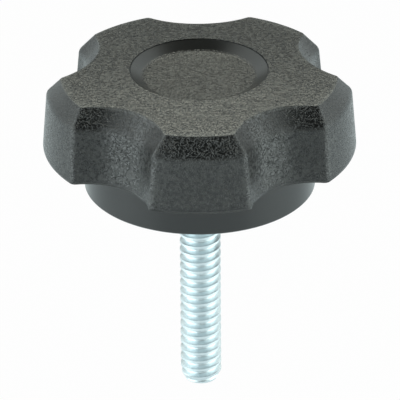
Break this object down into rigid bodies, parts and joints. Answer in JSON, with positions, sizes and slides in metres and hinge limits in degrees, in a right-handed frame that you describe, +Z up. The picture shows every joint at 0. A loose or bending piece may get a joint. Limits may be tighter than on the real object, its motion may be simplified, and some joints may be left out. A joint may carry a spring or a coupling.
{
  "type": "five-arm knob",
  "caption": "Black textured plastic clamping knob with rounded arms, a shallow round recess on top, a round hub below and a zinc-plated steel threaded stud.",
  "frame": {"origin": "on the stud's axis, in the plane of the hub's seat", "axes": "+Z up along the stud's axis towards the top of the head, so the stud points to -Z; one arm points to -Y, the side the picture shows"},
  "size_m": [0.035, 0.0341, 0.0392],
  "materials": {
    "knob_plastic": "fine leather-like moulded grain, hub and recess wall smooth",
    "zinc_steel": "bright zinc plating"
  },
  "bodies": {
    "root": {"knob_head": "knob_plastic", "threaded_stud": "zinc_steel"}
  },
  "joints": []
}
